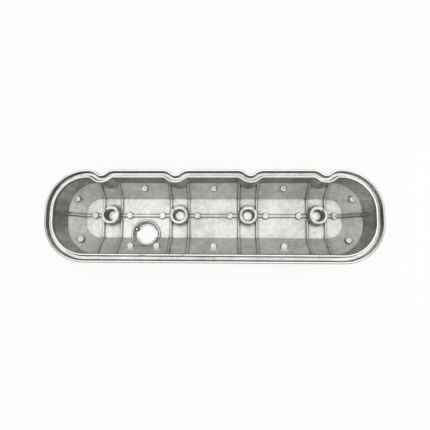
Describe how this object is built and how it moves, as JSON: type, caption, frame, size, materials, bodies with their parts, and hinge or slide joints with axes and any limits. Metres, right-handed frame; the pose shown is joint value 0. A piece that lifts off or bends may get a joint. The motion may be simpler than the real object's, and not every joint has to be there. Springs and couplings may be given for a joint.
{
  "type": "engine valve cover",
  "caption": "Long die-cast engine valve cover, a hollow dish with a grooved, notched flange, tubular bolt bosses in line and a bayonet oil filler.",
  "frame": {"origin": "under the middle of the flange, on the plane of the filler neck's end, which is the cover's lowest point with the hollow side up", "axes": "+X along the cover, +Y towards the notched long side, +Z out of the hollow, square to the sealing face"},
  "size_m": [0.499, 0.1386, 0.0697],
  "materials": {
    "cast_aluminium": "as-cast, satin, with a machined sealing face"
  },
  "bodies": {
    "root": {"valve_cover": "cast_aluminium"}
  },
  "joints": []
}
